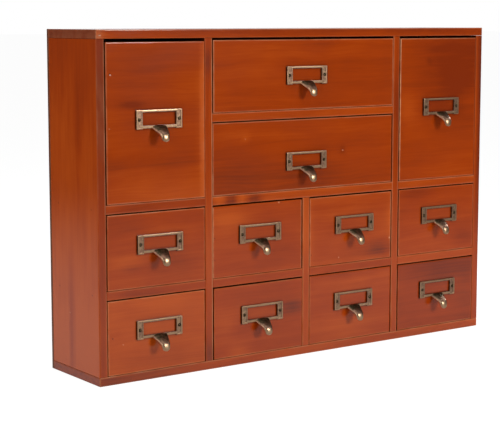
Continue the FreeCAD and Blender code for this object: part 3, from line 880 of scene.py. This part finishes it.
def makeHook(s):  # an arch drawn along the hook's run, narrowing to a round tip, hollow underneath
    bm = bmesh.new()
    upright = Matrix.Rotation(math.radians(90), 4, "X")
    bmesh.ops.create_circle(bm, cap_ends=False, segments=2 * s["archSteps"], radius=1.0, matrix=upright)
    bmesh.ops.delete(bm, geom=[v for v in bm.verts if v.co.z < -closeBy], context="VERTS")
    hollow = bm.verts.layers.float.new("hollow")
    for vert in bm.verts:
        vert.co.x = math.copysign(abs(vert.co.x) ** s["archSquare"], vert.co.x)
        vert.co.z = max(0.0, vert.co.z) ** s["archSquare"]
    last = Matrix.Identity(4)
    rim, row = bm.edges[:], bm.verts[:]
    for number, (out, up, turn, width, rise, darkPatinaAndShade) in enumerate(s["hook"]):
        shape = (Matrix.Translation((0, -out * mm, up * mm)) @ Matrix.Rotation(math.radians(turn), 4, "X")
                 @ Matrix.Diagonal((width * mm / 2, 1, rise * mm, 1)))
        if number:
            grown = bmesh.ops.extrude_edge_only(bm, edges=rim)["geom"]
            row = ofKind(grown, bmesh.types.BMVert)
            rim = [edge for edge in ofKind(grown, bmesh.types.BMEdge) if all(v in row for v in edge.verts)]
        bmesh.ops.transform(bm, matrix=shape @ last.inverted(), verts=row)
        last = shape
        for vert in row:  # patina keeps to the middle, and the two edges are rubbed bright, with a painted highlight on them
            vert[hollow] = darkPatinaAndShade * (1.0 - abs((shape.inverted() @ vert.co).x) ** s["rimSharp"])
    bmesh.ops.pointmerge(bm, verts=row, merge_co=last @ Vector((0, 0, s["tipRise"])))
    bmesh.ops.recalc_face_normals(bm, faces=bm.faces[:])
    if sum(face.normal.y for face in bm.faces) > 0:
        bmesh.ops.reverse_faces(bm, faces=bm.faces[:])
    return bm


def finished(bm, *modifiers):  # the mesh with its modifiers applied
    mesh = bpy.data.meshes.new("pattern")
    bm.to_mesh(mesh)
    bm.free()
    holder = addObject("pattern", mesh)
    for kind, settings in modifiers:
        modifier = holder.modifiers.new(kind, kind)
        for name, setting in settings.items():
            setattr(modifier, name, setting)
    graph = bpy.context.evaluated_depsgraph_get()
    made = bpy.data.meshes.new_from_object(holder.evaluated_get(graph))
    bpy.data.objects.remove(holder)
    bpy.data.meshes.remove(mesh)
    return made


def makePull(s):
    bm = makeFrame(s)
    sinkSeats(bm, s)
    softenFrame(bm, s)
    hollow = bm.verts.layers.float.new("hollow")
    windowHalf, windowLow, windowHigh = s["window"]
    window = {0: (-windowHalf, windowHalf), 2: (windowLow, windowHigh)}
    # Patina fills the seats; below the face, the frame's side and window walls also darken as painted shade
    for vert in bm.verts:
        deep = vert.co.y + s["thick"]
        onLand = abs(deep - s["landDeep"]) < closeBy
        vert[hollow] = s["landGrime"] if onLand else min(1.0, s["faceGrime"] + deep / s["patinaAndShadeDeep"])
        # The softened edge round the window gets painted shade
        if offOutline(vert.co, window) < s["softened"] * s["windowRim"]:
            vert[hollow] = max(vert[hollow], s["windowShade"])
    hook = finished(makeHook(s), ("SOLIDIFY", {"thickness": s["hookWall"], "offset": -1.0}),
                    ("SUBSURF", {"levels": 2, "render_levels": 2}))
    bm.from_mesh(hook)
    bpy.data.meshes.remove(hook)
    return finished(bm)


def makePin(s):  # a domed head on a shank that ends in a point, turned about Y
    bm = bmesh.new()
    turns = [math.radians(degrees) for degrees in range(0, 91, s["domeTurn"])]
    profile = [(s["head"] * math.sin(turn), s["under"] - s["tall"] * math.cos(turn)) for turn in turns]
    profile += [(s["shank"], s["under"]), (s["shank"], s["taper"]), (0.0, s["tip"])]
    chain = [bm.verts.new((radius, along, 0.0)) for radius, along in profile]
    for first, second in zip(chain, chain[1:]):
        bm.edges.new((first, second))
    bmesh.ops.spin(bm, geom=bm.verts[:] + bm.edges[:], cent=(0, 0, 0), axis=(0, 1, 0),
                   angle=math.radians(360), steps=s["sides"], use_merge=True)
    bmesh.ops.remove_doubles(bm, verts=bm.verts[:], dist=closeBy)
    bmesh.ops.recalc_face_normals(bm, faces=bm.faces[:])
    hollow = bm.verts.layers.float.new("hollow")
    for vert in bm.verts:
        vert[hollow] = min(1.0, (vert.co.y - s["under"] + s["tall"]) / s["tall"])
    return finished(bm)


def setDown(bm, pattern, place):  # one casting from a pattern, with its own run of patina
    casting = bmesh.new()
    casting.from_mesh(pattern)
    spot = casting.verts.layers.float_vector.new("spot")
    shift = Vector([draw.uniform(0.0, 1.0) for _ in range(3)])
    for vert in casting.verts:
        vert[spot] = vert.co + shift
    bmesh.ops.translate(casting, vec=place, verts=casting.verts)
    joinTo(bm, casting)


# The drawers

shadedFrontSides = ((0, 0, 0.85), (2, 1, 0.85))  # painted shade on a front's left side and top
lightlyShadedFrontTop = ((0, 0, 0.8), (2, 1, 0.2))      # the same with less painted shade on top, where the gap above is narrow
drawerSettings = {
    "wall": 5 * mm,
    "floor": 3 * mm,
    "trayArris": 0.3 * mm,
    "trayPatch": 14 * mm,
    "trayTone": 0.1,  # how much its boards differ
}
fronts = {
    "tall_left": {
        "wear": (0.3, 0.2, 0.35, 0.25),
        "shades": ((0.3, 0.85, 50, 40, 0.15), (0.25, 0.61, 14, 4, 0.5), (0.6, 0.05, 50, 20, -0.35),
                   (0.6, 0.45, 40, 12, -0.15), (1.0, 0.45, 5, 75, -1.0), (0.5, 0.26, 70, 5, 0.3),
                   (0.5, 0.68, 50, 6, -0.2)),
        "clouds": ((0.08, 0.24, 16, 6, 0.3), (0.6, 0.23, 30, 3, 0.3)),
        "rubs": ((1.0, 0.45, 4, 70, 0.15),),
        "marks": (("knot", (0.04, 0.0, 0.805), 1.1, 0.3), ("edge", (0.05, 0.0, 0.797), 0.8, 0.0),
                  ("edge", (0.03, 0.0, 0.47), 0.9, 0.15))},
    "wide_upper": {
        "wear": (0.5, 0.4, 0.35, 0.4),
        "shades": ((0.2, 0.75, 50, 22, -0.1), (0.78, 0.5, 60, 30, 0.22), (0.45, 0.12, 70, 14, 0.15))},
    "tall_right": {
        "tone": 0.05, "wear": (0.85, 0.1, 0.25, 0.45),
        "shades": ((0.7, 0.78, 55, 42, 0.6), (0.12, 0.5, 18, 20, -0.4), (0.6, 0.1, 50, 22, -0.15),
                   (0.38, 0.835, 4, 2.5, 0.3))},
    "wide_lower": {
        "tone": 0.1, "wear": (0.45, 0.1, 0.45, 0.35), "inside": lightlyShadedFrontTop,
        "shades": ((0.1, 0.85, 30, 12, -0.2), (0.55, 0.85, 60, 14, -0.15), (0.8, 0.35, 40, 16, -0.15),
                   (0.17, 0.76, 5, 4, -0.3), (0.709, 0.52, 4, 5, 0.35)),
        "clouds": ((0.40, 0.14, 90, 16, 0.35), (0.1, 0.2, 30, 24, 0.2)),
        "marks": (("edge", (0.709, 0.0, 0.52), 0.9, 0.25), ("edge", (0.711, 0.0, 0.60), 0.6, 0.15),
                  ("edge", (0.17, 0.0, 0.76), 0.8, 0.1))},
    "upper_small_1": {
        "tone": -0.02, "wear": (0.2, 0.3, 0.4, 0.45),
        "shades": ((0.2, 0.38, 24, 5, -0.5), (0.5, 0.9, 60, 9, 0.1)),
        "clouds": ((0.25, 0.26, 12, 4, 0.3), (0.7, 0.3, 30, 14, 0.2), (0.2, 0.85, 20, 6, 0.2))},
    "upper_small_2": {
        "tone": -0.08, "wear": (0.6, 0.5, 0.25, 0.05),
        "shades": ((0.16, 0.8, 22, 7, -0.5), (0.8, 0.5, 30, 26, 0.2), (0.5, 0.1, 50, 8, 0.2)),
        "marks": (("knot", (0.02, 0.0, 0.56), 0.9, 0.2), ("knot", (0.02, 0.0, 0.25), 0.9, 0.2),
                  ("edge", (0.735, 0.0, 0.985), 1.2, 0.2))},
    "upper_small_3": {
        "tone": -0.08, "wear": (0.5, 0.5, 0.2, 0.3),
        "shades": ((0.0, 0.5, 6, 40, -0.3), (1.0, 0.6, 6, 30, -0.3)),
        "clouds": ((0.84, 0.16, 16, 7, 0.8), (0.6, 0.15, 20, 5, 0.2)),
        "marks": (("knot", (0.02, 0.0, 0.17), 0.9, 0.2), ("edge", (0.985, 0.0, 0.3), 1.4, 0.2),
                  ("edge", (0.35, 0.0, 0.09), 1.0, 0.1))},
    "upper_small_4": {
        "tone": -0.02, "wear": (0.35, 0.25, 0.25, 0.15), "inside": lightlyShadedFrontTop,
        "shades": ((0.2, 0.92, 30, 6, 0.3), (0.85, 0.15, 20, 12, 0.25))},
    "lower_small_1": {
        "tone": -0.34, "wear": (0.35, 0.35, 0.4, 0.4),
        "clouds": ((0.5, 0.12, 60, 8, 0.12),),
        "marks": (("knot", (0.045, 0.0, 0.5), 0.9, 0.25), ("edge", (0.15, 0.0, 0.4), 0.8, 0.1))},
    "lower_small_2": {
        "tone": -0.02, "wear": (0.2, 0.1, 0.35, 0.3),
        "shades": ((0.125, 0.44, 14, 10, -0.3), (0.256, 0.08, 16, 8, -0.3)),
        "clouds": ((0.88, 0.6, 16, 7, 0.85),)},
    "lower_small_3": {
        "tone": -0.03, "wear": (0.3, 0.0, 0.4, 0.1), "inside": lightlyShadedFrontTop,
        "shades": ((0.5, 0.2, 50, 12, -0.35),)},
    "lower_small_4": {
        "tone": 0.2, "wear": (0.2, 0.25, 0.35, 0.1), "inside": lightlyShadedFrontTop,
        "shades": ((0.5, 0.92, 60, 8, 0.25),),
        "clouds": ((0.6, 0.86, 50, 14, 0.45), (0.9, 0.5, 16, 30, 0.25))},
}


def pullMiddle(drawerName):  # where the middle of the frame's rear face goes
    low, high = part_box(f"{drawerName}_pull")
    return Vector(((low.x + high.x) / 2, high.y, high.z - pullSettings["height"] / 2))


def pullOutlines(drawerName):  # the frame and its window, as they lie on the front
    middle = pullMiddle(drawerName)
    low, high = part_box(f"{drawerName}_pull")
    half, under, over = pullSettings["window"]
    return ({0: (low.x, high.x), 2: (high.z - pullSettings["height"], high.z)},
            {0: (middle.x - half, middle.x + half), 2: (middle.z + under, middle.z + over)})


for drawerName, look in fronts.items():
    bm = bmesh.new()
    shared = {"inside": shadedFrontSides, "fitting": pullOutlines(drawerName)}
    addBoard(bm, *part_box(f"{drawerName}_front"), {**shared, **look})
    finishPiece(f"{drawerName}_face", bm, f"{drawerName}_drawer", [f"{drawerName}_front"], "stained_fronts",
                stainedWood)

    bm = bmesh.new()
    low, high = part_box(f"{drawerName}_box")
    wall, floor = drawerSettings["wall"], drawerSettings["floor"]
    boards = (
        (low, (high.x, high.y, low.z + floor), (0, 1, 2)),
        ((low.x, low.y, low.z + floor), (low.x + wall, high.y, high.z), (1, 2, 0)),
        ((high.x - wall, low.y, low.z + floor), high, (1, 2, 0)),
        ((low.x + wall, high.y - wall, low.z + floor), (high.x - wall, high.y, high.z), (0, 2, 1)),
    )
    for start, stop, axes in boards:
        tone = draw.uniform(-drawerSettings["trayTone"], drawerSettings["trayTone"])
        addBoard(bm, start, stop, {"grain": axes, "tone": tone, "arris": drawerSettings["trayArris"],
                                   "patch": drawerSettings["trayPatch"]})
    finishPiece(f"{drawerName}_tray", bm, f"{drawerName}_drawer", [f"{drawerName}_box"], "drawer_boards",
                bareWood)
print("drawers cut")


pullPattern = makePull(pullSettings)
pinPattern = makePin(pinSettings)
for drawerName in fronts:
    middle = pullMiddle(drawerName)
    bm = bmesh.new()
    setDown(bm, pullPattern, middle)
    finishPiece(f"{drawerName}_card_pull", bm, f"{drawerName}_drawer", [f"{drawerName}_pull"],
                "antique_brass", antiqueBrass)
    bm = bmesh.new()
    for side in (-1, 1):
        setDown(bm, pinPattern, middle + Vector((side * pullSettings["pins"], 0, 0)))
    finishPiece(f"{drawerName}_round_pins", bm, f"{drawerName}_drawer", [f"{drawerName}_pins"], "pin_brass",
                darkBrass)
print("pulls cast and pinned")

low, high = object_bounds()
